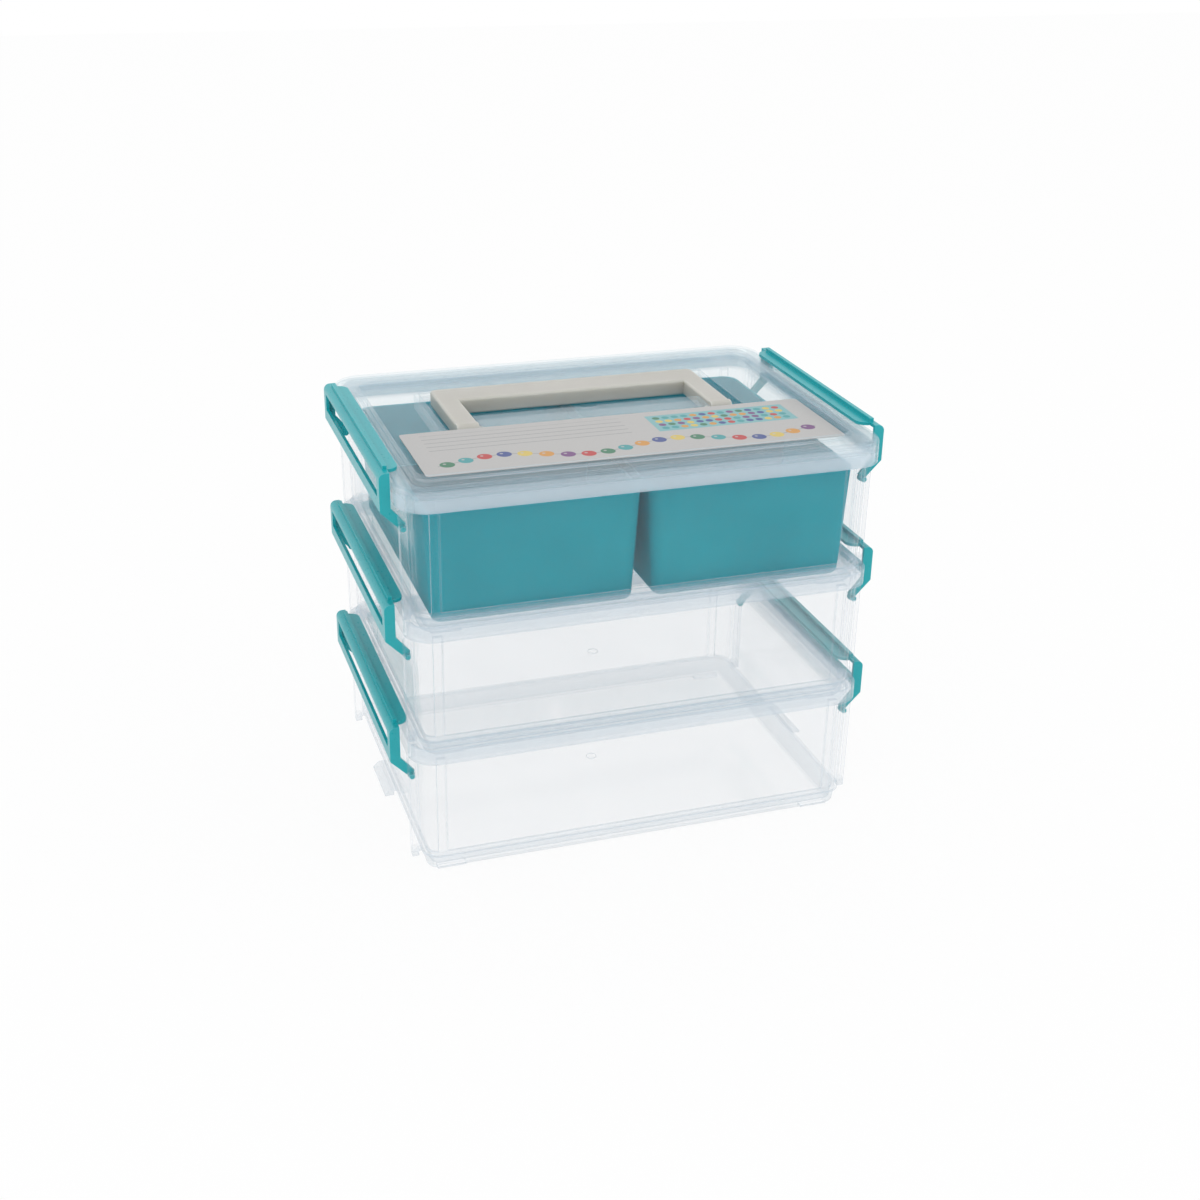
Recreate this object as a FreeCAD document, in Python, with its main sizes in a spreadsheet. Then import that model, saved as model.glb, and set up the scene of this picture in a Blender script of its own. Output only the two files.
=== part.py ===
import FreeCAD
import Part
import Sketcher
import math
import os

# A stacking bead storage box: three clear boxes, a clear lid with a folding carry handle and a
# card label, six clip frames that hold the stack together, and two trays in the top box.
# Millimetres, +Z up, the long side along X. The origin is on the floor, under the stack's middle.

SIZES = [
    # a box: the nest is the low inset foot that drops into the box below
    ("boxWidth", 250.8),        # outside the wall at its top edge
    ("boxDepth", 185.4),
    ("boxCorner", 10.0),        # plan radius of the wall
    ("boxHeight", 81.9),        # floor to the top of the wall
    ("boxWall", 1.8),
    ("boxFloor", 2.2),
    ("wallDraft", 1.2),         # how far each wall leans in, top to step
    ("nestHeight", 10.5),       # how deep it drops in
    ("nestGap", 0.8),           # nest to the wall of the box below
    ("nestDraft", 1.3),
    ("nestEdge", 2.4),          # rounding under the floor
    ("floorEdge", 1.6),         # rounding inside, round the floor
    ("ledgeHeight", 2.0),       # thickness of the ledge over the step
    ("footHeight", 1.3),
    ("footLength", 16.0),
    ("footDepth", 4.0),
    ("footInset", 5.0),         # from the floor's edge
    ("gateSize", 6.0),          # the round mark in the middle of the floor
    ("gateHeight", 0.5),
    # the rim band hung round the top of a box
    ("rimReach", 4.6),          # out from the wall, on the short sides
    ("rimLip", 2.7),            # out from the wall, on the long sides
    ("rimCorner", 15.0),
    ("rimHeight", 8.9),
    ("rimWall", 1.6),
    ("lipHeight", 2.7),         # what the wall stands above the rim
    # ears: upright ribs on the short sides that carry the clips' pins
    ("earGap", 0.3),            # ears and catches to the wall of the box below
    ("earDraft", 0.6),
    ("earFace", 82.0),          # from the middle to the ear's far face
    ("earThickness", 4.4),
    # catch: a ledge low on each short side, which the clip of the box below holds down
    ("catchLength", 34.0),
    ("catchInset", 1.0),        # its nose, inside the lid's side
    ("catchSeat", 1.0),         # its flat top, past the flap's edge
    ("catchAir", 0.5),          # over the rim of the box below
    ("catchNose", 1.0),         # height of the blunt nose
    # guides: flat bands up the inside of the long walls, between which the trays stand
    ("guideInset", 11.4),       # from the short side's wall
    ("guideWidth", 5.0),
    ("guideReach", 1.6),
    ("guideRoot", 0.3),         # short of the wall's outer face
    ("guideDrop", 0.6),         # under the nest of the box above
    # lid
    ("lidPlay", 0.5),           # skirt to rim
    ("lidPlate", 1.8),
    ("skirtHeight", 13.6),
    ("skirtWall", 1.5),
    ("lidEdge", 3.2),
    ("wellRoom", 2.8),          # the sunk middle of the lid, inside the box's short walls
    ("wellRoomDepth", 10.1),    # and inside its long ones
    ("wellCorner", 7.0),
    ("wellSink", 4.0),
    # handle bay, a deeper pocket in the well
    ("bayRoom", 6.3),           # beside the handle
    ("bayBackRoom", 2.6),
    ("bayFrontRoom", 0.7),
    ("bayFloorRoom", 0.9),
    ("bayCorner", 3.0),
    ("islandRoom", 1.1),        # handle to the raised block between its arms
    ("islandBack", 15.0),
    ("notchWidth", 9.0),        # thumb notch in the block's back edge
    ("notchDepth", 1.6),
    ("notchSink", 1.0),
    ("grooveLength", 184.0),
    ("grooveWidth", 2.4),
    ("grooveInset", 1.2),
    ("grooveDepth", 0.6),
    # handle
    ("handleWidth", 160.4),
    ("handleArm", 12.4),
    ("handleBar", 22.0),
    ("handleBack", 63.4),
    ("handleThickness", 9.0),
    ("handleSink", 2.5),        # its top below the top of the lid
    ("handleEdge", 1.4),
    ("handleCorner", 3.0),
    ("handlePin", 4.0),
    ("handlePinLength", 2.6),
    ("pinPlay", 0.25),          # round every pin
    # clips
    ("clipRoom", 0.9),          # lid's side to the end plates
    ("clipEnd", 5.6),           # width of the end plates
    ("clipEndGap", 0.9),        # end plates to the ears
    ("clipWall", 1.8),
    ("clipPlate", 2.0),         # thickness of the end plates
    ("clipTurn", 9.2),          # above the pins, where the end plates turn in to them
    ("clipBend", 1.6),
    ("clipLean", 1.0),          # slope under the face
    ("clipShoulder", 3.4),      # rounding from face to flap
    ("pivotDrop", 25.7),        # pins below the top of the box's wall
    ("pivotGap", 0.1),          # knuckle to the wall's top edge, in plan
    ("clipKnuckle", 4.0),
    ("clipPin", 2.8),
    ("clipPinLength", 2.9),
    ("clipGap", 0.2),           # flap over what it holds
    ("flapHold", 5.4),          # how far the flap reaches over the lid
    ("flapShort", 6.2),         # the flap's ends, inside the end plates' faces
    ("flapCorner", 6.0),
    ("railHeight", 2.0),        # the ridge along the flap
    ("railWidth", 2.2),
    ("windowTop", 2.6),         # face bar over the window
    ("windowFoot", 6.4),        # face bar under it
    ("windowEnd", 5.6),
    ("windowCorner", 1.0),
    # trays
    ("trayGap", 4.6),           # between the two at the top
    ("trayPlay", 0.6),          # to the guides
    ("traySide", 4.1),          # to the short walls
    ("trayHeadroom", 3.2),      # under the handle bay
    ("trayCorner", 9.0),
    ("trayDraft", 3.6),
    ("trayWall", 1.6),
    ("trayEdge", 4.0),
    ("trayDivider", 1.4),
    ("trayDividerDrop", 6.0),
    # label
    ("labelSide", 3.2),         # inside the well's sides
    ("labelShift", 2.5),        # it lies a little to the right
    ("labelFront", 7.2),        # inside the well's front
    ("labelRoom", 0.6),         # to the handle bay
    ("labelThickness", 0.4),
    ("labelCorner", 2.0),
]

doc = FreeCAD.newDocument("BeadStorageBox")
sheet = doc.addObject("Spreadsheet::Sheet", "Sizes")
for row, (alias, value) in enumerate(SIZES, start=1):
    sheet.set(f"A{row}", alias)
    sheet.set(f"B{row}", str(value))
    sheet.setAlias(f"B{row}", alias)
doc.recompute()


def sized(text):
    """An expression in which each alias of the sheet is written plainly."""
    names = sorted((alias for alias, _ in SIZES), key=len, reverse=True)
    out = ""
    word = ""
    for letter in text + " ":
        if letter.isalnum():
            word += letter
            continue
        out += ("Sizes." + word) if word in names else word
        word = ""
        out += letter
    return out.strip()


def value_of(text):
    """The number that an expression has now."""
    return float(sheet.evalExpression(sized(text)))


def new_body(label):
    """An empty body whose label names its file."""
    body = doc.addObject("PartDesign::Body", label)
    body.Label = label
    return body


def new_sketch(body, name, plane="XY_Plane", lift="0"):
    """A sketch on one of the body's own planes, moved off it by lift."""
    sketch = body.newObject("Sketcher::SketchObject", name)
    base = next(item for item in body.Origin.OriginFeatures if item.Role == plane)
    sketch.AttachmentSupport = [(base, "")]
    sketch.MapMode = "FlatFace"
    sketch.setExpression("AttachmentOffset.Base.z", sized(lift))
    return sketch


def add_polygon(sketch, corners):
    """A closed outline through corners, each a pair of expressions."""
    points = [FreeCAD.Vector(value_of(x), value_of(y), 0) for x, y in corners]
    count = len(points)
    sides = []
    for i in range(count):
        sides.append(sketch.addGeometry(Part.LineSegment(points[i], points[(i + 1) % count]), False))
    for i in range(count):
        following = sides[(i + 1) % count]
        sketch.addConstraint(Sketcher.Constraint("Coincident", sides[i], 2, following, 1))
    for side, corner, point in zip(sides, corners, points):
        for kind, text, now in (("DistanceX", corner[0], point.x), ("DistanceY", corner[1], point.y)):
            index = sketch.addConstraint(Sketcher.Constraint(kind, -1, 1, side, 1, now))
            sketch.setExpression(f"Constraints[{index}]", sized(text))


def add_rectangle(sketch, low_x, low_y, high_x, high_y):
    add_polygon(sketch, [(low_x, low_y), (high_x, low_y), (high_x, high_y), (low_x, high_y)])


def add_circle(sketch, across, along, diameter):
    """A circle at a place in the sketch, given as expressions."""
    centre = FreeCAD.Vector(value_of(across), value_of(along), 0)
    radius = value_of(diameter) / 2
    ring = sketch.addGeometry(Part.Circle(centre, FreeCAD.Vector(0, 0, 1), radius), False)
    for kind, text, now in (("DistanceX", across, centre.x), ("DistanceY", along, centre.y)):
        index = sketch.addConstraint(Sketcher.Constraint(kind, -1, 1, ring, 3, now))
        sketch.setExpression(f"Constraints[{index}]", sized(text))
    index = sketch.addConstraint(Sketcher.Constraint("Diameter", ring, 2 * radius))
    sketch.setExpression(f"Constraints[{index}]", sized(diameter))


def add_rounded(sketch, low_x, low_y, high_x, high_y, radius):
    """A rectangle with four equal round corners, given as expressions."""
    x0, y0, x1, y1 = (value_of(text) for text in (low_x, low_y, high_x, high_y))
    r = value_of(radius)
    up = FreeCAD.Vector(0, 0, 1)
    centres = [(x1 - r, y0 + r, -90), (x1 - r, y1 - r, 0), (x0 + r, y1 - r, 90), (x0 + r, y0 + r, 180)]
    arcs = []
    for x, y, start in centres:
        ring = Part.Circle(FreeCAD.Vector(x, y, 0), up, r)
        arc = Part.ArcOfCircle(ring, math.radians(start), math.radians(start + 90))
        arcs.append(sketch.addGeometry(arc, False))
    ends = [(x0 + r, y0, x1 - r, y0), (x1, y0 + r, x1, y1 - r)]
    ends += [(x1 - r, y1, x0 + r, y1), (x0, y1 - r, x0, y0 + r)]
    lines = []
    for ax, ay, bx, by in ends:
        segment = Part.LineSegment(FreeCAD.Vector(ax, ay, 0), FreeCAD.Vector(bx, by, 0))
        lines.append(sketch.addGeometry(segment, False))
    for i in range(4):
        sketch.addConstraint(Sketcher.Constraint("Tangent", lines[i], 2, arcs[i], 1))
        sketch.addConstraint(Sketcher.Constraint("Tangent", arcs[i], 2, lines[(i + 1) % 4], 1))
    sketch.addConstraint(Sketcher.Constraint("Horizontal", lines[0]))
    sketch.addConstraint(Sketcher.Constraint("Vertical", lines[1]))
    sketch.addConstraint(Sketcher.Constraint("Horizontal", lines[2]))
    sketch.addConstraint(Sketcher.Constraint("Vertical", lines[3]))
    for i in range(1, 4):
        sketch.addConstraint(Sketcher.Constraint("Equal", arcs[0], arcs[i]))
    index = sketch.addConstraint(Sketcher.Constraint("Radius", arcs[0], r))
    sketch.setExpression(f"Constraints[{index}]", sized(radius))
    places = (("DistanceY", lines[0], low_y, y0), ("DistanceX", lines[1], high_x, x1))
    places += (("DistanceY", lines[2], high_y, y1), ("DistanceX", lines[3], low_x, x0))
    for kind, line, text, now in places:
        index = sketch.addConstraint(Sketcher.Constraint(kind, -1, 1, line, 1, now))
        sketch.setExpression(f"Constraints[{index}]", sized(text))


def add_centred(sketch, width, depth, radius):
    add_rounded(sketch, f"-({width})/2", f"-({depth})/2", f"({width})/2", f"({depth})/2", radius)


def extrude(body, kind, name, sketch, length, side="One side", down=False):
    """A pad or pocket of a sketch. A pad goes along the sketch's normal, or against it when down."""
    feature = body.newObject(kind, name)
    feature.Profile = sketch
    feature.SideType = side
    feature.setExpression("Length", sized(length))
    feature.Reversed = down
    doc.recompute()
    return feature


def pad(body, name, sketch, length, side="One side", down=False):
    return extrude(body, "PartDesign::Pad", name, sketch, length, side, down)


def pocket(body, name, sketch, length, side="One side", down=False):
    """Cuts along the sketch's normal when down is false. The volume has to fall."""
    before = body.Shape.Volume
    feature = extrude(body, "PartDesign::Pocket", name, sketch, length, side, not down)
    if body.Shape.Volume > before - 0.1:
        raise ValueError(f"{name} cuts nothing")
    return feature


def loft(body, kind, name, sections):
    """A ruled loft through sketches, added or taken away."""
    feature = body.newObject(kind, name)
    feature.Profile = sections[0]
    feature.Sections = sections[1:]
    feature.Ruled = True
    doc.recompute()
    return feature


def mirror(body, name, features, plane):
    """The same features again on the other side of one of the body's planes."""
    feature = body.newObject("PartDesign::Mirrored", name)
    feature.Originals = features
    base = next(item for item in body.Origin.OriginFeatures if item.Role == plane)
    feature.MirrorPlane = (base, [""])
    body.Tip = feature
    doc.recompute()
    return feature


def edges_where(body, wanted):
    """Names of the body's edges for which wanted(box, edge) is true."""
    shape = body.Tip.Shape
    return [f"Edge{i}" for i, edge in enumerate(shape.Edges, start=1) if wanted(edge.BoundBox, edge)]


def fillet(body, name, names, radius):
    feature = body.newObject("PartDesign::Fillet", name)
    feature.Base = (feature.BaseFeature or body.Tip, names)
    feature.setExpression("Radius", sized(radius))
    doc.recompute()
    return feature


def at_height(height, tolerance=0.01):
    """Picks the edges that lie flat at a height."""
    level = value_of(height)
    return lambda box, edge: abs(box.ZMin - level) < tolerance and abs(box.ZMax - level) < tolerance


# What the pieces of a box are worked out from. The step is where the inset nest ends and the wall
# begins: it rests on the wall of the box below, as the ears rest on that box's rim.
STEP = "nestHeight"
PITCH = "(boxHeight - nestHeight)"
NEST_WIDTH = "(boxWidth - 2 * boxWall - 2 * nestGap)"
NEST_DEPTH = "(boxDepth - 2 * boxWall - 2 * nestGap)"
FOOT_WIDTH = f"({NEST_WIDTH} - 2 * nestDraft)"
FOOT_DEPTH = f"({NEST_DEPTH} - 2 * nestDraft)"
WALL_WIDTH = "(boxWidth - 2 * wallDraft)"
WALL_DEPTH = "(boxDepth - 2 * wallDraft)"
INNER_CORNER = "(boxCorner - boxWall)"
NEST_INNER_CORNER = "(boxCorner - 2 * boxWall)"
LEDGE = f"({STEP} + ledgeHeight)"
FLOOR_TOP = "(footHeight + boxFloor)"
RIM_WIDTH = "(boxWidth + 2 * rimReach)"
RIM_DEPTH = "(boxDepth + 2 * rimLip)"
RIM_TOP = "(boxHeight - lipHeight)"
EAR_BACK = "(earFace - earThickness)"
GUIDE_PLACE = "(boxWidth / 2 - guideInset)"

# The lid, in plan and in heights from the floor.
LID_WIDTH = f"({RIM_WIDTH} + 2 * (lidPlay + skirtWall))"
LID_DEPTH = f"({RIM_DEPTH} + 2 * (lidPlay + skirtWall))"
LID_CORNER = "(rimCorner + lidPlay + skirtWall)"
LID_TOP = f"(2 * {PITCH} + boxHeight + lidPlate)"
WELL_WIDTH = "(boxWidth - 2 * (boxWall + lidPlate + wellRoom))"
WELL_DEPTH = "(boxDepth - 2 * (boxWall + lidPlate + wellRoomDepth))"
WELL_TOP = f"({LID_TOP} - wellSink)"
BAY_SINK = "(handleSink + handleThickness + bayFloorRoom)"
BAY_FRONT = "(-(handleThickness / 2 + bayFrontRoom))"
ISLAND_SIDE = "(handleWidth / 2 - handleArm - islandRoom)"
PIN_LEVEL = f"({LID_TOP} - handleSink - handleThickness / 2)"

# A clip, above its own box's base. Its flap rests on the lid, or on a catch at that height.
CATCH_TOP = f"({STEP} + lidPlate)"
FLAP_SEAT = "(boxHeight + lidPlate + clipGap)"
FLAP_TOP = f"({FLAP_SEAT} + clipWall)"
FLAP_EDGE = f"({LID_WIDTH} / 2 - flapHold)"
CLIP_INNER = f"({LID_WIDTH} / 2 + clipRoom)"
CLIP_REACH = f"({CLIP_INNER} + clipEnd)"
CLIP_LENGTH = f"(2 * ({EAR_BACK} - clipEndGap))"
PIVOT_REACH = "(boxWidth / 2 + pivotGap + clipKnuckle / 2)"
PIVOT_HEIGHT = "(boxHeight - pivotDrop)"
CLIP_FOOT = f"({PIVOT_HEIGHT} + clipTurn)"

# A tray fits between the guide ribs, and under the handle bay.
TRAY_WIDTH = f"({WALL_WIDTH} / 2 - boxWall - traySide - trayGap / 2)"
TRAY_DEPTH = f"({WALL_DEPTH} - 2 * (boxWall + guideReach + trayPlay))"
TRAY_HEIGHT = f"(boxHeight - {BAY_SINK} - {FLOOR_TOP} - trayHeadroom)"


def two_sided(corners):
    """The same outline again on the other side of the middle, in the order that keeps it a loop."""
    return [(f"-({x})", y) for x, y in reversed(corners)]


def make_box(label, tier):
    """One clear box. All three are the same moulding."""
    body = new_body(label)

    # rim band: a plate with a skirt hanging from its edge
    band = new_sketch(body, "rimPlan", lift=RIM_TOP)
    add_centred(band, RIM_WIDTH, RIM_DEPTH, "rimCorner")
    pad(body, "rim", band, "rimHeight", down=True)
    under = new_sketch(body, "rimHollow", lift=f"{RIM_TOP} - rimHeight")
    add_centred(under, f"{RIM_WIDTH} - 2 * rimWall", f"{RIM_DEPTH} - 2 * rimWall", "rimCorner - rimWall")
    pocket(body, "rimUnder", under, "rimHeight - rimWall")

    # ears: the profile runs right through, then the middle is taken out. Each has a leg that
    # stands outside the wall of the box below, on that box's rim
    ears = new_sketch(body, "earProfile", plane="XZ_Plane")
    root = "boxWidth / 2 - wallDraft - boxWall / 2"
    leg = "boxWidth / 2 + earGap"
    low = f"{RIM_TOP} - {PITCH}"
    over = f"{STEP} + earGap"
    side = f"{RIM_WIDTH} / 2"
    high = f"{RIM_TOP} - rimWall / 2"
    ear = [(leg, low), (f"{side} - earDraft", low), (side, high), (root, high), (root, over), (leg, over)]
    add_polygon(ears, ear)
    add_polygon(ears, two_sided(ear))
    pad(body, "ears", ears, "2 * earFace", side="Symmetric")
    space = new_sketch(body, "earSpaceProfile", plane="XZ_Plane")
    skirt = f"{side} - rimWall"
    below = f"{RIM_TOP} - rimHeight"
    roof = f"{RIM_TOP} - rimWall"
    hollow = [("boxWidth / 4", f"{low} - earGap"), (f"{side} + earGap", f"{low} - earGap")]
    hollow += [(f"{side} + earGap", below), (skirt, below), (skirt, roof), ("boxWidth / 4", roof)]
    add_polygon(space, hollow)
    add_polygon(space, two_sided(hollow))
    pocket(body, "earSpace", space, f"2 * {EAR_BACK}", side="Symmetric")

    # catch on each short side: a ledge that reaches over the wall of the box below, with its nose
    # sloped so that the clip snaps over it
    catch = new_sketch(body, "catchProfile", plane="XZ_Plane")
    inner = f"{NEST_WIDTH} / 2 - boxWall / 2"
    nose = f"{LID_WIDTH} / 2 - catchInset"
    keel = f"{low} + catchAir"
    hook = [(inner, over), (leg, over), (leg, keel), (nose, keel), (nose, f"{keel} + catchNose")]
    hook += [(f"{FLAP_EDGE} + catchSeat", CATCH_TOP), (inner, CATCH_TOP)]
    add_polygon(catch, hook)
    add_polygon(catch, two_sided(hook))

    # wall and nest as solids, with four low feet
    wall_foot = new_sketch(body, "wallFoot", lift=STEP)
    add_centred(wall_foot, WALL_WIDTH, WALL_DEPTH, "boxCorner - wallDraft")
    wall_top = new_sketch(body, "wallTop", lift="boxHeight")
    add_centred(wall_top, "boxWidth", "boxDepth", "boxCorner")
    loft(body, "PartDesign::AdditiveLoft", "wall", [wall_foot, wall_top])
    pad(body, "catches", catch, "catchLength", side="Symmetric")
    nest_foot = new_sketch(body, "nestFoot", lift="footHeight")
    add_centred(nest_foot, FOOT_WIDTH, FOOT_DEPTH, f"{INNER_CORNER} - nestDraft")
    nest_top = new_sketch(body, "nestTop", lift=STEP)
    add_centred(nest_top, NEST_WIDTH, NEST_DEPTH, INNER_CORNER)
    loft(body, "PartDesign::AdditiveLoft", "nest", [nest_foot, nest_top])
    fillet(body, "nestRound", edges_where(body, at_height("footHeight")), "nestEdge")
    feet = new_sketch(body, "footPlan")
    foot_x = f"{FOOT_WIDTH} / 2 - footInset"
    foot_y = f"{FOOT_DEPTH} / 2 - nestEdge - footDepth"
    for sign_x in ("", "-"):
        for sign_y in ("", "-"):
            near = (f"{sign_x}({foot_x} - footLength)", f"{sign_y}({foot_y})")
            far = (f"{sign_x}({foot_x})", f"{sign_y}({foot_y} + footDepth)")
            low_x, high_x = (near[0], far[0]) if sign_x == "" else (far[0], near[0])
            low_y, high_y = (near[1], far[1]) if sign_y == "" else (far[1], near[1])
            add_rectangle(feet, low_x, low_y, high_x, high_y)
    pad(body, "feet", feet, "footHeight + boxFloor / 2")

    # inside: a tapered well over a shallower, narrower one, with the ledge between them
    ledge = new_sketch(body, "ledgePlan", lift=LEDGE)
    low_corner = f"{INNER_CORNER} - wallDraft"
    add_centred(ledge, f"{WALL_WIDTH} - 2 * boxWall", f"{WALL_DEPTH} - 2 * boxWall", low_corner)
    mouth = new_sketch(body, "mouthPlan", lift="boxHeight")
    add_centred(mouth, "boxWidth - 2 * boxWall", "boxDepth - 2 * boxWall", INNER_CORNER)
    loft(body, "PartDesign::SubtractiveLoft", "upperInside", [ledge, mouth])
    floor = new_sketch(body, "floorPlan", lift=FLOOR_TOP)
    low_corner = f"{NEST_INNER_CORNER} - nestDraft"
    add_centred(floor, f"{FOOT_WIDTH} - 2 * boxWall", f"{FOOT_DEPTH} - 2 * boxWall", low_corner)
    brink = new_sketch(body, "brinkPlan", lift=LEDGE)
    add_centred(brink, f"{NEST_WIDTH} - 2 * boxWall", f"{NEST_DEPTH} - 2 * boxWall", NEST_INNER_CORNER)
    loft(body, "PartDesign::SubtractiveLoft", "lowerInside", [floor, brink])
    fillet(body, "floorRound", edges_where(body, at_height(FLOOR_TOP)), "floorEdge")
    gate = new_sketch(body, "gatePlan", lift="footHeight + boxFloor / 2")
    add_circle(gate, "0", "0", "gateSize")
    pad(body, "gateMark", gate, "boxFloor / 2 + gateHeight")

    # guide ribs on the long walls, from the ledge to just under the nest of the box above
    rib_foot = f"({STEP} + ledgeHeight / 2)"
    guides = new_sketch(body, "guidePlan", lift=rib_foot)
    face = f"{WALL_DEPTH} / 2 - boxWall - guideReach"
    outer = f"{WALL_DEPTH} / 2 - guideRoot"
    for place in (GUIDE_PLACE, f"-{GUIDE_PLACE}"):
        left = f"{place} - guideWidth / 2"
        right = f"{place} + guideWidth / 2"
        add_rectangle(guides, left, face, right, outer)
        add_rectangle(guides, left, f"-({outer})", right, f"-({face})")
    pad(body, "guides", guides, f"{PITCH} - guideDrop - {rib_foot}")

    # blind holes in the ears for the clips' pins
    holes = new_sketch(body, "pinHolePlan", plane="XZ_Plane", lift=EAR_BACK)
    for place in (PIVOT_REACH, f"-{PIVOT_REACH}"):
        add_circle(holes, place, PIVOT_HEIGHT, "clipPin + 2 * pinPlay")
    bore = pocket(body, "pinHoles", holes, "clipPinLength - clipEndGap + pinPlay")
    mirror(body, "pinHolesBehind", [bore], "XZ_Plane")

    body.setExpression("Placement.Base.z", sized(f"{tier} * {PITCH}"))
    return body


def make_lid():
    """The clear lid: a skirted plate with a sunk well, and a bay in it for the handle."""
    body = new_body("lid")
    outline = new_sketch(body, "lidPlan", lift=LID_TOP)
    add_centred(outline, LID_WIDTH, LID_DEPTH, LID_CORNER)
    pad(body, "lidBlock", outline, "skirtHeight", down=True)
    fillet(body, "lidRound", edges_where(body, at_height(LID_TOP)), "lidEdge")
    under = new_sketch(body, "skirtHollow", lift=f"{LID_TOP} - skirtHeight")
    inner_corner = f"{LID_CORNER} - skirtWall"
    add_centred(under, f"{LID_WIDTH} - 2 * skirtWall", f"{LID_DEPTH} - 2 * skirtWall", inner_corner)
    pocket(body, "skirt", under, "skirtHeight - lidPlate")

    # the well, a tray-like panel let into the plate
    outside = new_sketch(body, "wellOutside", lift=f"{LID_TOP} - lidPlate / 2")
    outer_corner = "wellCorner + lidPlate"
    add_centred(outside, f"{WELL_WIDTH} + 2 * lidPlate", f"{WELL_DEPTH} + 2 * lidPlate", outer_corner)
    pad(body, "wellBlock", outside, "wellSink + lidPlate / 2", down=True)
    well = new_sketch(body, "wellPlan", lift=LID_TOP)
    add_centred(well, WELL_WIDTH, WELL_DEPTH, "wellCorner")
    pocket(body, "well", well, "wellSink", down=True)

    # the handle bay, U-shaped round a block that stays level with the well
    bay_block = new_sketch(body, "bayOutside", lift=f"{WELL_TOP} - lidPlate / 2")
    add_polygon(bay_block, bay_outline("lidPlate"))
    pad(body, "bayBlock", bay_block, f"{BAY_SINK} - wellSink + lidPlate / 2", down=True)
    bay = new_sketch(body, "bayPlan", lift=WELL_TOP)
    add_polygon(bay, bay_outline("0"))
    pocket(body, "bay", bay, f"{BAY_SINK} - wellSink", down=True)
    fillet(body, "bayRound", edges_where(body, bay_corner), "bayCorner")

    # a shallow groove between the label and the front of the well
    groove = new_sketch(body, "groovePlan", lift=WELL_TOP)
    near = f"-{WELL_DEPTH} / 2 + grooveInset"
    add_rectangle(groove, "-grooveLength / 2", near, "grooveLength / 2", f"{near} + grooveWidth")
    pocket(body, "groove", groove, "grooveDepth", down=True)
    notch = new_sketch(body, "notchPlan", lift=WELL_TOP)
    add_rectangle(notch, "-notchWidth / 2", "islandBack - notchDepth", "notchWidth / 2", "islandBack")
    pocket(body, "thumbNotch", notch, "notchSink", down=True)

    # holes for the handle's pins, in the sides of the block
    hole = new_sketch(body, "handleHole", plane="YZ_Plane", lift=f"{ISLAND_SIDE} - lidPlate - pinPlay")
    add_circle(hole, "0", PIN_LEVEL, "handlePin + 2 * pinPlay")
    bore = pocket(body, "pinHole", hole, "lidPlate + 2 * pinPlay")
    mirror(body, "pinHoleLeft", [bore], "YZ_Plane")
    return body


def bay_outline(grow):
    """Corners of the U-shaped bay, grown outward by a wall."""
    side = f"handleWidth / 2 + bayRoom + {grow}"
    inner = f"{ISLAND_SIDE} - {grow}"
    front = f"{BAY_FRONT} - {grow}"
    block = f"islandBack - {grow}"
    back = f"handleBack + bayBackRoom + {grow}"
    right = [(inner, block), (inner, front), (side, front), (side, back)]
    return right + two_sided(right)


def bay_corner(box, edge):
    """Picks the upright corner edges of the bay's outer outline."""
    upright = box.ZLength > 1 and box.XLength < 0.01 and box.YLength < 0.01
    inside = abs(abs(box.XMin) - value_of("handleWidth / 2 + bayRoom")) < 0.01
    return upright and inside and box.ZMax < value_of(LID_TOP) - 1


def make_handle():
    """The cream carry handle, lying back in its bay. It swings up on two pins at its arms' ends."""
    body = new_body("carry_handle")
    plan = new_sketch(body, "handlePlan", lift=f"{PIN_LEVEL} - handleThickness / 2")
    outer = "handleWidth / 2"
    inner = "handleWidth / 2 - handleArm"
    bar = "handleBack - handleBar"
    right = [(inner, bar), (inner, "0"), (outer, "0"), (outer, "handleBack")]
    add_polygon(plan, right + two_sided(right))
    pad(body, "bail", plan, "handleThickness")
    corners = edges_where(body, handle_corner)
    fillet(body, "bailCorners", corners, "handleCorner")
    fillet(body, "bailEdges", edges_where(body, handle_rim), "handleEdge")
    knuckle = new_sketch(body, "armEnd", plane="YZ_Plane", lift=inner)
    add_circle(knuckle, "0", PIN_LEVEL, "handleThickness")
    end = pad(body, "armRound", knuckle, "handleArm")
    journal = new_sketch(body, "pinPlan", plane="YZ_Plane", lift=f"{inner} - handlePinLength")
    add_circle(journal, "0", PIN_LEVEL, "handlePin")
    pin = pad(body, "pin", journal, "handlePinLength + handleArm / 2")
    mirror(body, "otherArm", [end, pin], "YZ_Plane")
    return body


def handle_corner(box, edge):
    """Picks the upright edges at the handle's outer back corners."""
    upright = box.ZLength > 1 and box.XLength < 0.01 and box.YLength < 0.01
    return upright and box.YMin > value_of("handleBack") - 0.01


def handle_rim(box, edge):
    """Picks the flat outline edges of the bail, but not its cut-off front ends."""
    return box.ZLength < 0.01 and box.YMax > 1


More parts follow.
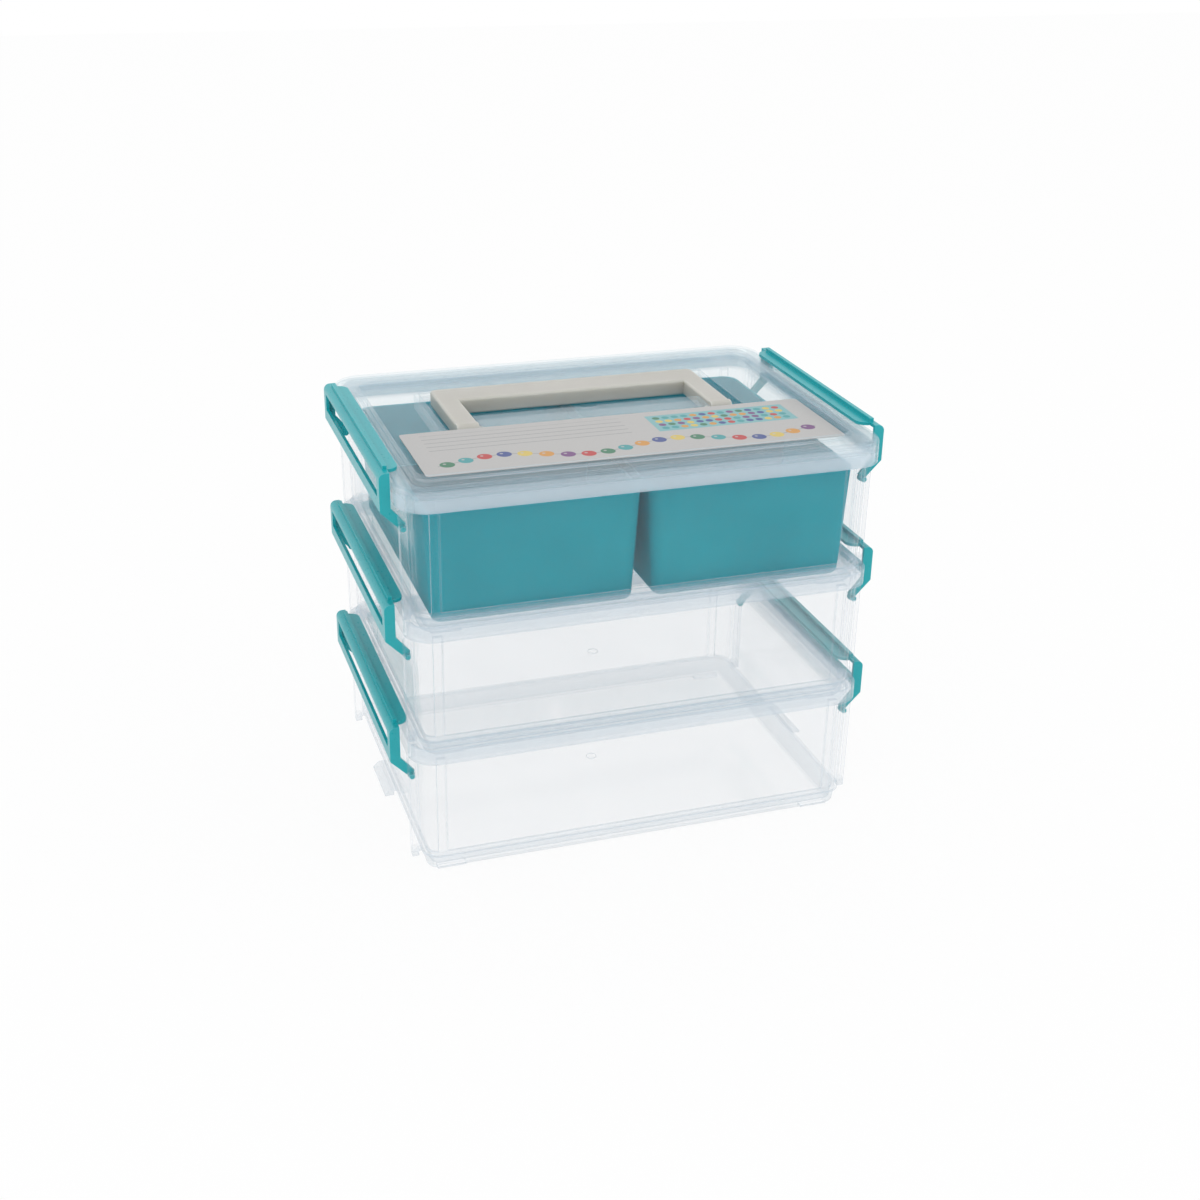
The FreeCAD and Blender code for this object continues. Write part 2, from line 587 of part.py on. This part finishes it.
def make_clip(label, tier, turned):
    """One teal clip frame. Its pins turn in its own box's ears, and its flap holds down the catch
    of the box above, or the lid's edge. It is drawn on the right and turned for the left."""
    body = new_body(label)
    profile = new_sketch(body, "endProfile", plane="XZ_Plane")
    knuckle = "clipKnuckle / 2"
    end = [(FLAP_EDGE, FLAP_SEAT), (CLIP_INNER, FLAP_SEAT), (CLIP_INNER, f"{CLIP_FOOT} + clipBend")]
    end += [(f"{PIVOT_REACH} - {knuckle}", f"{PIVOT_HEIGHT} + {knuckle}")]
    end += [(f"{PIVOT_REACH} + {knuckle} / 2", f"{PIVOT_HEIGHT} - {knuckle} / 2")]
    end += [(CLIP_REACH, CLIP_FOOT), (CLIP_REACH, FLAP_TOP), (FLAP_EDGE, FLAP_TOP)]
    add_polygon(profile, end)
    pad(body, "endBlock", profile, CLIP_LENGTH, side="Symmetric")
    fillet(body, "shoulder", edges_where(body, long_edge(CLIP_REACH, FLAP_TOP)), "clipShoulder")
    ridge = new_sketch(body, "railProfile", plane="XZ_Plane")
    rail = f"{CLIP_REACH} - clipShoulder"
    root = f"{FLAP_TOP} - clipWall / 2"
    crest = f"{FLAP_TOP} + railHeight"
    add_rectangle(ridge, f"{rail} - railWidth", root, rail, crest)
    pad(body, "rail", ridge, f"{CLIP_LENGTH} - 2 * flapShort", side="Symmetric")
    pivot = new_sketch(body, "knuckleProfile", plane="XZ_Plane")
    add_circle(pivot, PIVOT_REACH, PIVOT_HEIGHT, "clipKnuckle")
    pad(body, "knuckle", pivot, CLIP_LENGTH, side="Symmetric")
    journal = new_sketch(body, "pinProfile", plane="XZ_Plane")
    add_circle(journal, PIVOT_REACH, PIVOT_HEIGHT, "clipPin")
    pad(body, "pins", journal, f"{CLIP_LENGTH} + 2 * clipPinLength", side="Symmetric")

    # the space behind the face and between the end plates
    space = new_sketch(body, "spaceProfile", plane="XZ_Plane")
    face = f"{CLIP_REACH} - clipWall"
    slack = f"{PIVOT_REACH} - clipKnuckle"
    low = f"{PIVOT_HEIGHT} - clipKnuckle"
    toe = f"{CLIP_FOOT} - 0.001"    # a hair under the foot, so that the cut passes it cleanly
    hollow = [(slack, low), (CLIP_REACH, low), (CLIP_REACH, toe)]
    hollow += [(face, f"{CLIP_FOOT} + clipLean"), (face, FLAP_SEAT), (slack, FLAP_SEAT)]
    add_polygon(space, hollow)
    pocket(body, "space", space, f"{CLIP_LENGTH} - 2 * clipPlate", side="Symmetric")

    # the flap ends short of the end plates, and the face has a long window
    trim = new_sketch(body, "flapTrim", lift=FLAP_SEAT)
    for sign in ("", "-"):
        ends = (f"{sign}({CLIP_LENGTH} / 2 - flapShort)", f"{sign}({CLIP_LENGTH} / 2 + clipPlate)")
        near, far = ends if sign == "" else (ends[1], ends[0])
        add_rectangle(trim, f"{FLAP_EDGE} - clipWall", near, CLIP_INNER, far)
    pocket(body, "flapEnds", trim, "clipWall + railHeight")
    fillet(body, "flapRound", edges_where(body, flap_corner), "flapCorner")
    window = new_sketch(body, "windowPlan", plane="YZ_Plane", lift=f"{CLIP_REACH} - 2 * clipWall")
    half = f"{CLIP_LENGTH} / 2 - windowEnd"
    sill = f"{CLIP_FOOT} + windowFoot"
    head = f"{FLAP_SEAT} - windowTop"
    add_rounded(window, f"-({half})", sill, half, head, "windowCorner")
    pocket(body, "window", window, "3 * clipWall")

    if turned:
        body.Placement = FreeCAD.Placement(FreeCAD.Vector(), FreeCAD.Vector(0, 0, 1), 180)
    body.setExpression("Placement.Base.z", sized(f"{tier} * {PITCH}"))
    return body


def long_edge(x, z):
    """Picks the edge that runs along Y at a place in the profile."""
    place_x = value_of(x)
    place_z = value_of(z)

    def wanted(box, edge):
        near_x = abs(box.XMin - place_x) < 0.01 and abs(box.XMax - place_x) < 0.01
        near_z = abs(box.ZMin - place_z) < 0.01 and abs(box.ZMax - place_z) < 0.01
        return near_x and near_z and box.YLength > 1

    return wanted


def flap_corner(box, edge):
    """Picks the two upright edges at the flap's free corners."""
    upright = box.XLength < 0.01 and box.YLength < 0.01
    return upright and abs(box.XMin - value_of(FLAP_EDGE)) < 0.01


def make_tray(label, turned):
    """One teal tray with a cross divider. Two of them stand side by side in the top box."""
    body = new_body(label)
    foot_width = f"{TRAY_WIDTH} - 2 * trayDraft"
    foot_depth = f"{TRAY_DEPTH} - 2 * trayDraft"
    middle = f"(trayGap + {TRAY_WIDTH}) / 2"
    base = f"2 * {PITCH} + {FLOOR_TOP}"

    def plan(name, lift, width, depth, corner):
        sketch = new_sketch(body, name, lift=lift)
        low_x = f"{middle} - ({width}) / 2"
        add_rounded(sketch, low_x, f"-({depth}) / 2", f"{low_x} + {width}", f"({depth}) / 2", corner)
        return sketch

    outside = [
        plan("brimPlan", f"{base} + {TRAY_HEIGHT}", TRAY_WIDTH, TRAY_DEPTH, "trayCorner"),
        plan("trayFoot", base, foot_width, foot_depth, "trayCorner - trayDraft"),
    ]
    loft(body, "PartDesign::AdditiveLoft", "shell", outside)
    fillet(body, "footRound", edges_where(body, at_height(base)), "trayEdge")
    low_inside = f"({foot_width} - 2 * trayWall)"
    low_inside_depth = f"({foot_depth} - 2 * trayWall)"
    high_inside = f"({TRAY_WIDTH} - 2 * trayWall)"
    high_inside_depth = f"({TRAY_DEPTH} - 2 * trayWall)"
    corner = "trayCorner - trayWall"
    inside = [
        plan("insideFoot", f"{base} + trayWall", low_inside, low_inside_depth, f"{corner} - trayDraft"),
        plan("mouth", f"{base} + {TRAY_HEIGHT}", high_inside, high_inside_depth, corner),
    ]
    loft(body, "PartDesign::SubtractiveLoft", "inside", inside)
    fillet(body, "insideRound", edges_where(body, at_height(f"{base} + trayWall")), "trayEdge - trayWall")

    divider = new_sketch(body, "dividerProfile", plane="XZ_Plane")
    low = f"{base} + trayWall / 2"
    high = f"{base} + {TRAY_HEIGHT} - trayDividerDrop"
    near = f"{middle} - ({TRAY_WIDTH} - trayWall) / 2"
    far = f"{middle} + ({TRAY_WIDTH} - trayWall) / 2"
    lean = f"(trayDraft * ({TRAY_HEIGHT} - trayWall / 2) / {TRAY_HEIGHT})"
    drop = f"(trayDraft * trayDividerDrop / {TRAY_HEIGHT})"
    edge = [(f"{near} + {lean} + trayEdge", low), (f"{far} - {lean} - trayEdge", low)]
    edge += [(f"{far} - {lean}", f"{low} + trayEdge"), (f"{far} - {drop}", high)]
    edge += [(f"{near} + {drop}", high), (f"{near} + {lean}", f"{low} + trayEdge")]
    add_polygon(divider, edge)
    pad(body, "divider", divider, "trayDivider", side="Symmetric")
    if turned:
        body.Placement = FreeCAD.Placement(FreeCAD.Vector(), FreeCAD.Vector(0, 0, 1), 180)
    return body


def make_label():
    """The card that lies on the floor of the lid's well."""
    body = new_body("lid_label")
    card = new_sketch(body, "cardPlan", lift=WELL_TOP)
    half = f"({WELL_WIDTH} / 2 - labelSide)"
    back = f"({BAY_FRONT} - labelRoom)"
    left = f"labelShift - {half}"
    right = f"labelShift + {half}"
    add_rounded(card, left, f"labelFront - {WELL_DEPTH} / 2", right, back, "labelCorner")
    pad(body, "card", card, "labelThickness")
    return body


def check_document():
    """Stops where any feature has failed."""
    doc.recompute()
    for item in doc.Objects:
        if "Invalid" in item.State or "Error" in item.State:
            raise ValueError(f"{item.Name} failed: {item.State}")


def write_nodes(bodies):
    """Checks each sub-part and writes it under its label."""
    os.makedirs("parts", exist_ok=True)
    for body in bodies:
        shape = body.Shape
        if shape.isNull() or not shape.isValid() or len(shape.Solids) != 1:
            raise ValueError(f"{body.Label} is not one valid solid")
    for body in bodies:
        body.Shape.exportStep(f"parts/{body.Label}.step")
        box = body.Shape.optimalBoundingBox()
        print(body.Label, round(body.Shape.Volume / 1000, 1), "cm3", box)


TIERS = ("bottom", "middle", "top")
nodes = []
for tier, name in enumerate(TIERS):
    nodes.append(make_box(f"{name}_box", tier))
    nodes.append(make_clip(f"{name}_right_clip", tier, turned=False))
    nodes.append(make_clip(f"{name}_left_clip", tier, turned=True))
nodes.append(make_tray("right_tray", turned=False))
nodes.append(make_tray("left_tray", turned=True))
nodes.append(make_lid())
nodes.append(make_label())
nodes.append(make_handle())
check_document()
write_nodes(nodes)
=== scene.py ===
import math

import bpy
from mathutils import Matrix, Vector

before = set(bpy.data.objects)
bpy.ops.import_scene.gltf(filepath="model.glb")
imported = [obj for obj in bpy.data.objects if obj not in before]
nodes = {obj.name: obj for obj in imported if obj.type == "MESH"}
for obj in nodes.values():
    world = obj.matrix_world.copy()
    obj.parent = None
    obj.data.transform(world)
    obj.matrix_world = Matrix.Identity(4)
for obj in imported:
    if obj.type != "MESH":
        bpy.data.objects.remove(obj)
scene = bpy.context.scene
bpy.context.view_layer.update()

MM = 0.001


def linear(red, green, blue):
    """A colour as read from a screen, 0 to 255, made linear for the shader."""
    def one(value):
        value = value / 255.0
        if value <= 0.04045:
            return value / 12.92
        return ((value + 0.055) / 1.055) ** 2.4
    return (one(red), one(green), one(blue), 1.0)


# Node trees

class Tree:
    """The nodes of a material, with short ways to add and join them."""

    def __init__(self, material):
        material.use_nodes = True
        self.tree = material.node_tree
        self.place = None

    def cover(self, surface):
        """Makes a shader the surface of the material."""
        self.set(self.tree.nodes["Material Output"].inputs["Surface"], surface)

    def set(self, socket, value):
        """Gives a socket a number or a colour, or joins another node's output to it."""
        if isinstance(value, bpy.types.NodeSocket):
            self.tree.links.new(value, socket)
        else:
            socket.default_value = value

    def add(self, kind, out=0, props=None, **inputs):
        """A new node: its own settings, its inputs by name with _ for a space, and one output."""
        node = self.tree.nodes.new("ShaderNode" + kind)
        for key, value in (props or {}).items():
            setattr(node, key, value)
        for key, value in inputs.items():
            self.set(node.inputs[key.replace("_", " ")], value)
        return node.outputs[out]

    def math(self, operation, *values):
        """One step of arithmetic."""
        node = self.tree.nodes.new("ShaderNodeMath")
        node.operation = operation
        for socket, value in zip(node.inputs, values):
            self.set(socket, value)
        return node.outputs[0]

    def span(self, value, low, high, to_low=0.0, to_high=1.0):
        """A value spread from one range to another and held inside it."""
        return self.add(
            "MapRange", Value=value, From_Min=low, From_Max=high, To_Min=to_low, To_Max=to_high)

    def where(self):
        """The place on the object, in metres."""
        if self.place is None:
            self.place = self.add("TexCoord", out="Object")
        return self.place

    def noise(self, size, detail=2.0, stretch=(1.0, 1.0, 1.0)):
        """Soft lumps of that size in metres, 0 to 1, drawn out along an axis by its stretch."""
        scale = tuple(1.0 / (size * one) for one in stretch)
        vector = self.add("Mapping", Vector=self.where(), Scale=scale)
        return self.add("TexNoise", Vector=vector, Scale=1.0, Detail=detail)

    def blend(self, factor, low, high):
        """A colour between two others."""
        node = self.tree.nodes.new("ShaderNodeMix")
        node.data_type = "RGBA"
        self.set(node.inputs["Factor"], factor)
        self.set(node.inputs["A"], low)
        self.set(node.inputs["B"], high)
        return node.outputs["Result"]

    def mix(self, factor, low, high):
        """One shader over another."""
        node = self.tree.nodes.new("ShaderNodeMixShader")
        self.set(node.inputs[0], factor)
        self.tree.links.new(low, node.inputs[1])
        self.tree.links.new(high, node.inputs[2])
        return node.outputs[0]

    def ramp(self, factor, colours):
        """Equal steps of plain colours, picked by a factor from 0 to 1."""
        node = self.tree.nodes.new("ShaderNodeValToRGB")
        node.color_ramp.interpolation = "CONSTANT"
        stops = node.color_ramp.elements
        while len(stops) < len(colours):
            stops.new(0.5)
        for index, (stop, colour) in enumerate(zip(stops, colours)):
            stop.position = index / len(colours)
            stop.color = colour
        self.set(node.inputs["Fac"], factor)
        return node.outputs["Color"]

    def within(self, value, middle, half, soft):
        """1 where a value is less than half away from a middle, with a soft edge."""
        away = self.math("ABSOLUTE", self.math("SUBTRACT", value, middle))
        return self.span(away, half + soft, half - soft)

    def cell(self, value, pitch):
        """The middle of the cell of that pitch in which a value lies."""
        index = self.math("FLOOR", self.math("DIVIDE", value, pitch))
        return self.math("MULTIPLY", self.math("ADD", index, 0.5), pitch)

    def edges(self, radius, samples=3):
        """1 within about a radius of a sharp edge and 0 on the flat."""
        rounded = self.add("Bevel", props={"samples": samples}, Radius=radius)
        sharp = self.add("NewGeometry", out="Normal")
        turn = self.add("VectorMath", out="Value", props={"operation": "DOT_PRODUCT"})
        self.set(turn.node.inputs[0], rounded)
        self.set(turn.node.inputs[1], sharp)
        return self.span(turn, 0.995, 0.8)


# Finishes

WHITE = (1.0, 1.0, 1.0, 1.0)
PLASTIC_IOR = 1.49
MILK = linear(229, 240, 248)
# painted highlight: the bluer milk that draws light lines along the edges of the clear plastic
EDGE_HIGHLIGHT_TINT = linear(196, 216, 234)
MILK_SEEN_FROM_BEHIND = 0.3
GLOSS_FLAT, GLOSS_EDGE_ON = 0.016, 0.4
TIER = 71.4 * MM
RIM_AND_NEST = dict(height=5.5 * MM, half=6.5 * MM, extra=0.16, width=117 * MM, depth=84 * MM)
LID_SKIRT = dict(height=3.5 * MM, half=6 * MM, extra=0.18, width=128 * MM, depth=93.5 * MM)
HANDLE_BAY = dict(height=1.2 * MM, half=3.7 * MM, extra=0.14, width=0.0, depth=-MM)


def thick_band(tree, height, half, extra, width, depth):
    """Extra milk in a band at a height that comes back with every tier, half of it to each side.
    It leaves the middle clear, as far as a half width and a half depth."""
    split = tree.add("SeparateXYZ", Vector=tree.where()).node
    level = tree.math("SUBTRACT", split.outputs["Z"], height)
    level = tree.math("SUBTRACT", tree.cell(level, TIER), level)
    level = tree.math("SUBTRACT", TIER / 2, tree.math("ABSOLUTE", level))
    beside = tree.math("SUBTRACT", tree.math("ABSOLUTE", split.outputs["X"]), width)
    before = tree.math("SUBTRACT", tree.math("ABSOLUTE", split.outputs["Y"]), depth)
    outside = tree.span(tree.math("MAXIMUM", beside, before), 0.0, MM)
    return tree.math("MULTIPLY", tree.span(level, half + MM, half, 0.0, extra), outside)


def clear_plastic(name, pass_tint, milk, rim_milk, edge_highlight_share, roughness, bands):
    """Clear plastic with a little milk in it. Milk is the share of each face that light doesn't
    pass straight through: on the flat, where the face is seen edge on, and in the bands where the
    moulding is thick. Along its edges more milk of a bluer tint is a painted highlight, standing in
    for the light lines that the rounded edges of clear plastic show."""
    material = bpy.data.materials.new(name)
    tree = Tree(material)
    flow = tree.noise(28 * MM, 3.0, stretch=(1.6, 1.6, 0.7))
    facing = tree.add("LayerWeight", out="Facing", Blend=0.5)
    body = tree.math("MULTIPLY_ADD", tree.math("POWER", facing, 3.0), rim_milk, milk)
    body = tree.math("MULTIPLY", body, tree.span(flow, 0.3, 0.7, 0.85, 1.15))
    for band in bands:
        body = tree.math("ADD", body, thick_band(tree, **band))
    # painted highlight: more milk of a bluer tint along the edges, in place of the light lines that
    # rounded clear edges catch
    edge = tree.edges(0.9 * MM)
    share = tree.math("MAXIMUM", body, tree.math("MULTIPLY", edge, edge_highlight_share))
    colour = tree.blend(edge, MILK, EDGE_HIGHLIGHT_TINT)
    front = material.node_tree.nodes["Principled BSDF"]
    tree.set(front.inputs["Base Color"], colour)
    front.inputs["IOR"].default_value = PLASTIC_IOR
    tree.set(front.inputs["Roughness"], tree.span(flow, 0.3, 0.7, roughness, roughness + 0.08))
    behind = tree.add("BsdfTranslucent", Color=colour)
    milky = tree.mix(MILK_SEEN_FROM_BEHIND, front.outputs[0], behind)
    clear = tree.add("BsdfTransparent", Color=pass_tint)
    shine = tree.add("BsdfGlossy", Color=WHITE, Roughness=roughness)
    gloss = tree.math("POWER", facing, 5.0)
    gloss = tree.math("MULTIPLY_ADD", gloss, GLOSS_EDGE_ON, GLOSS_FLAT)
    tree.cover(tree.mix(gloss, tree.mix(share, clear, milky), shine))
    return material


def moulded(name, colour, deep, roughness, through=0.0, soak=0.0, shine=0.5):
    """A coloured moulded plastic: fine lumps in its gloss, a painted highlight of paler colour
    along its edges, some light from behind for a thin wall, and light that soaks in for a thick
    one."""
    material = bpy.data.materials.new(name)
    tree = Tree(material)
    cloud = tree.noise(35 * MM, 2.0)
    fine = tree.noise(1.6 * MM, 2.0)
    body = tree.blend(tree.span(cloud, 0.3, 0.7), colour, deep)
    # painted highlight: a paler colour along the edges, where rounded edges catch the light
    painted_edge_highlight = tuple(min(1.0, 1.2 * one + 0.06) for one in colour[:3]) + (1.0,)
    body = tree.blend(tree.math("MULTIPLY", tree.edges(0.6 * MM, samples=8), 0.6), body, painted_edge_highlight)
    shader = material.node_tree.nodes["Principled BSDF"]
    tree.set(shader.inputs["Base Color"], body)
    rough = tree.span(fine, 0.3, 0.7, roughness - 0.03, roughness + 0.05)
    tree.set(shader.inputs["Roughness"], rough)
    shader.inputs["IOR"].default_value = PLASTIC_IOR
    shader.inputs["Specular IOR Level"].default_value = shine
    shader.inputs["Subsurface Weight"].default_value = soak
    shader.inputs["Subsurface Scale"].default_value = 9 * MM
    shader.inputs["Subsurface Radius"].default_value = (1.0, 1.0, 0.9)
    bump = tree.add("Bump", Strength=0.5, Distance=0.001 * MM, Height=fine)
    tree.set(shader.inputs["Normal"], bump)
    if through > 0.0:
        behind = tree.add("BsdfTranslucent", Color=body)
        tree.cover(tree.mix(through, shader.outputs[0], behind))
    return material


clear_box = clear_plastic(
    "clear_box", (0.994, 0.995, 0.997, 1.0), milk=0.022, rim_milk=0.22, edge_highlight_share=0.4,
    roughness=0.06, bands=[RIM_AND_NEST])
clear_lid = clear_plastic(
    "clear_lid", (0.97, 0.99, 0.993, 1.0), milk=0.025, rim_milk=0.22, edge_highlight_share=0.5,
    roughness=0.12, bands=[LID_SKIRT, HANDLE_BAY])
teal_clip = moulded("teal_clip", linear(18, 163, 170), linear(10, 157, 165), 0.3)
teal_tray = moulded(
    "teal_tray", linear(6, 193, 206), linear(3, 185, 199), 0.45, through=0.5, shine=0.2)
cream_handle = moulded(
    "cream_handle", linear(184, 182, 176), linear(179, 177, 170), 0.36, soak=0.9)

# The card's print: a string of round beads in a wave, a tray of small ones and ruled lines. Its
# places are measured along and up from the middle of the card.
CARD_MIDDLE = (2.5 * MM, -38.8 * MM)
PAPER = linear(178, 177, 176)
INKS = [
    linear(176, 58, 58), linear(196, 140, 64), linear(54, 116, 88), linear(58, 76, 134),
    linear(110, 68, 120), linear(60, 146, 150), linear(200, 178, 90)]
RULE_INK = linear(132, 134, 138)
TRAY_INK = linear(120, 170, 174)
SOFT = 0.12 * MM
LINE_HALF = 0.3 * MM
PRINT_UP = 13 * MM
TRAY_ALONG, TRAY_HALF_LENGTH, TRAY_HALF_HEIGHT = 62 * MM, 41 * MM, 13 * MM
SMALL_PITCH, SMALL_RADIUS = 5.5 * MM, 2.1 * MM
STRING_HALF_LENGTH, BEAD_PITCH, BEAD_RADIUS = 107 * MM, 10.7 * MM, 4 * MM
WAVE_LENGTH, WAVE_RISE, STRING_DROP = 96 * MM, 5.5 * MM, 17 * MM
INK_STEP = 0.3819


def printed_card():
    """Coated card with a generic print. The string's height is
    WAVE_RISE * sin(2 pi along / WAVE_LENGTH), lowered by STRING_DROP, and each of its beads is
    INK_STEP of the row of inks further on than the one before."""
    material = bpy.data.materials.new("card")
    tree = Tree(material)
    split = tree.add("SeparateXYZ", Vector=tree.where()).node
    along = tree.math("SUBTRACT", split.outputs["X"], CARD_MIDDLE[0])
    up = tree.math("SUBTRACT", split.outputs["Y"], CARD_MIDDLE[1])

    def height(at):
        turn = tree.math("MULTIPLY", at, 2 * math.pi / WAVE_LENGTH)
        return tree.math("MULTIPLY_ADD", tree.math("SINE", turn), WAVE_RISE, -STRING_DROP)

    def disc(across, rise, radius):
        square = tree.math("MULTIPLY", across, across)
        away = tree.math("SQRT", tree.math("MULTIPLY_ADD", rise, rise, square))
        return tree.span(away, radius + SOFT, radius - SOFT)

    def block(first, first_middle, first_half, second, second_middle, second_half):
        one = tree.within(first, first_middle, first_half, SOFT)
        return tree.math("MULTIPLY", one, tree.within(second, second_middle, second_half, SOFT))

    fibre = tree.noise(0.9 * MM, 2.0)
    ink = tree.blend(fibre, PAPER, linear(174, 173, 172))

    # ruled lines at the upper left
    rules = tree.within(tree.math("SUBTRACT", up, tree.cell(up, 6 * MM)), 0.0, LINE_HALF, SOFT)
    ruled = block(along, -50 * MM, 56 * MM, up, PRINT_UP, 14 * MM)
    ink = tree.blend(tree.math("MULTIPLY", rules, ruled), ink, RULE_INK)

    # tray of small beads at the upper right
    panel = block(along, TRAY_ALONG, TRAY_HALF_LENGTH, up, PRINT_UP, TRAY_HALF_HEIGHT)
    ink = tree.blend(panel, ink, TRAY_INK)
    from_middle = tree.math("SUBTRACT", along, TRAY_ALONG)
    over_middle = tree.math("SUBTRACT", up, PRINT_UP)
    column = tree.cell(from_middle, SMALL_PITCH)
    row = tree.cell(over_middle, SMALL_PITCH)
    spot = tree.add("CombineXYZ", X=column, Y=row)
    spot = tree.add("VectorMath", props={"operation": "SCALE"}, Vector=spot, Scale=1000.0)
    pick = tree.add("TexWhiteNoise", Vector=spot)
    across = tree.math("SUBTRACT", from_middle, column)
    rise = tree.math("SUBTRACT", over_middle, row)
    filled = block(along, TRAY_ALONG, 7 * SMALL_PITCH, up, PRINT_UP, 2 * SMALL_PITCH)
    small = tree.math("MULTIPLY", disc(across, rise, SMALL_RADIUS), filled)
    ink = tree.blend(small, ink, tree.ramp(pick, INKS))

    # string of beads in a wave along the lower part
    reach = tree.within(along, 0.0, STRING_HALF_LENGTH, SOFT)
    string = tree.within(tree.math("SUBTRACT", up, height(along)), 0.0, LINE_HALF, SOFT)
    ink = tree.blend(tree.math("MULTIPLY", string, reach), ink, RULE_INK)
    middle = tree.cell(along, BEAD_PITCH)
    across = tree.math("SUBTRACT", along, middle)
    rise = tree.math("SUBTRACT", up, height(middle))
    bead = tree.math("MULTIPLY", disc(across, rise, BEAD_RADIUS), reach)
    pick = tree.math("FRACT", tree.math("MULTIPLY", middle, INK_STEP / BEAD_PITCH))
    ink = tree.blend(bead, ink, tree.ramp(pick, INKS))
    shifted = tree.math("ADD", across, 1.2 * MM), tree.math("SUBTRACT", rise, 1.3 * MM)
    glint = tree.math("MULTIPLY", disc(*shifted, 0.9 * MM), tree.math("MULTIPLY", bead, 0.75))
    ink = tree.blend(glint, ink, PAPER)

    shader = material.node_tree.nodes["Principled BSDF"]
    tree.set(shader.inputs["Base Color"], ink)
    tree.set(shader.inputs["Roughness"], tree.span(fibre, 0.3, 0.7, 0.38, 0.46))
    bump = tree.add("Bump", Strength=0.4, Distance=0.004 * MM, Height=fibre)
    tree.set(shader.inputs["Normal"], bump)
    return material


card = printed_card()


def dress(node, material):
    """Gives a CAD node its finish."""
    mesh = nodes[node].data
    mesh.materials.clear()
    mesh.materials.append(material)


for tier in ("bottom", "middle", "top"):
    dress(f"{tier}_box", clear_box)
    for side in ("left", "right"):
        dress(f"{tier}_{side}_clip", teal_clip)
for side in ("left", "right"):
    dress(f"{side}_tray", teal_tray)
dress("lid", clear_lid)
dress("carry_handle", cream_handle)
dress("lid_label", card)


# Studio

FLOOR_REACH = 4.0
FLOOR_WHITE = 0.92


def seen_through(tree):
    """1 for a ray that the camera, a gloss or a clear wall sends, otherwise 0."""
    path = tree.add("LightPath").node
    either = tree.math("MAXIMUM", path.outputs["Is Camera Ray"], path.outputs["Is Glossy Ray"])
    return tree.math("MAXIMUM", either, path.outputs["Is Transmission Ray"])


def floor_paper():
    """White paper: most of what the camera sees of it is plain white, the rest takes shadows."""
    material = bpy.data.materials.new("floor_paper")
    tree = Tree(material)
    material.node_tree.nodes.remove(material.node_tree.nodes["Principled BSDF"])
    paper = tree.add("BsdfDiffuse", Color=(0.85, 0.85, 0.85, 1.0))
    share = tree.math("MULTIPLY", seen_through(tree), FLOOR_WHITE)
    tree.cover(tree.mix(share, paper, tree.add("Emission")))
    return material


def studio_floor():
    """A flat square of white paper under the box."""
    mesh = bpy.data.meshes.new("studio_floor")
    reach = FLOOR_REACH
    corners = [(-reach, -reach, 0), (reach, -reach, 0), (reach, reach, 0), (-reach, reach, 0)]
    mesh.from_pydata(corners, [], [(0, 1, 2, 3)])
    floor = bpy.data.objects.new("studio_floor", mesh)
    scene.collection.objects.link(floor)
    mesh.materials.append(floor_paper())


def world_light():
    """An even white sky."""
    scene.world = bpy.data.worlds.new("studio_world")
    scene.world.use_nodes = True
    background = scene.world.node_tree.nodes["Background"]
    background.inputs["Color"].default_value = WHITE
    background.inputs["Strength"].default_value = 1.0


LAMP_AIM = (0.0, 0.0, 0.12)
LAMP_SIZE = 0.9


def softbox(name, place, power):
    """A square lamp that faces the middle of the stack."""
    lamp = bpy.data.lights.new(name, "AREA")
    lamp.shape = "SQUARE"
    lamp.size = LAMP_SIZE
    lamp.energy = power
    holder = bpy.data.objects.new(name, lamp)
    direction = Vector(LAMP_AIM) - Vector(place)
    holder.rotation_euler = direction.to_track_quat("-Z", "Y").to_euler()
    holder.location = place
    scene.collection.objects.link(holder)


studio_floor()
world_light()
softbox("key_lamp", (-0.9, -1.1, 1.3), 4.0)
softbox("fill_lamp", (1.3, -0.6, 0.9), 2.0)


# Camera

EYE = Vector((-0.28486, -0.84569, 0.51959))
YAW = math.radians(-18.86)
PITCH = math.radians(-24.73)
ROLL = math.radians(0.96)
LENS = 50.39


def photo_camera():
    """The camera that the photograph was taken with: turned by yaw about the upright, then tipped
    down by pitch about its own side axis, then rolled about its own line of sight."""
    lens = bpy.data.cameras.new("camera")
    lens.lens = LENS
    lens.sensor_width = 36.0
    lens.clip_end = 20.0
    camera = bpy.data.objects.new("camera", lens)
    turn = Matrix.Rotation(YAW, 4, "Z") @ Matrix.Rotation(math.pi / 2 + PITCH, 4, "X")
    camera.matrix_world = Matrix.Translation(EYE) @ turn @ Matrix.Rotation(ROLL, 4, "Z")
    scene.collection.objects.link(camera)
    scene.camera = camera


photo_camera()
scene.view_settings.view_transform = "Standard"
scene.cycles.max_bounces = 8
scene.cycles.diffuse_bounces = 3
scene.cycles.glossy_bounces = 2
scene.cycles.transparent_max_bounces = 48
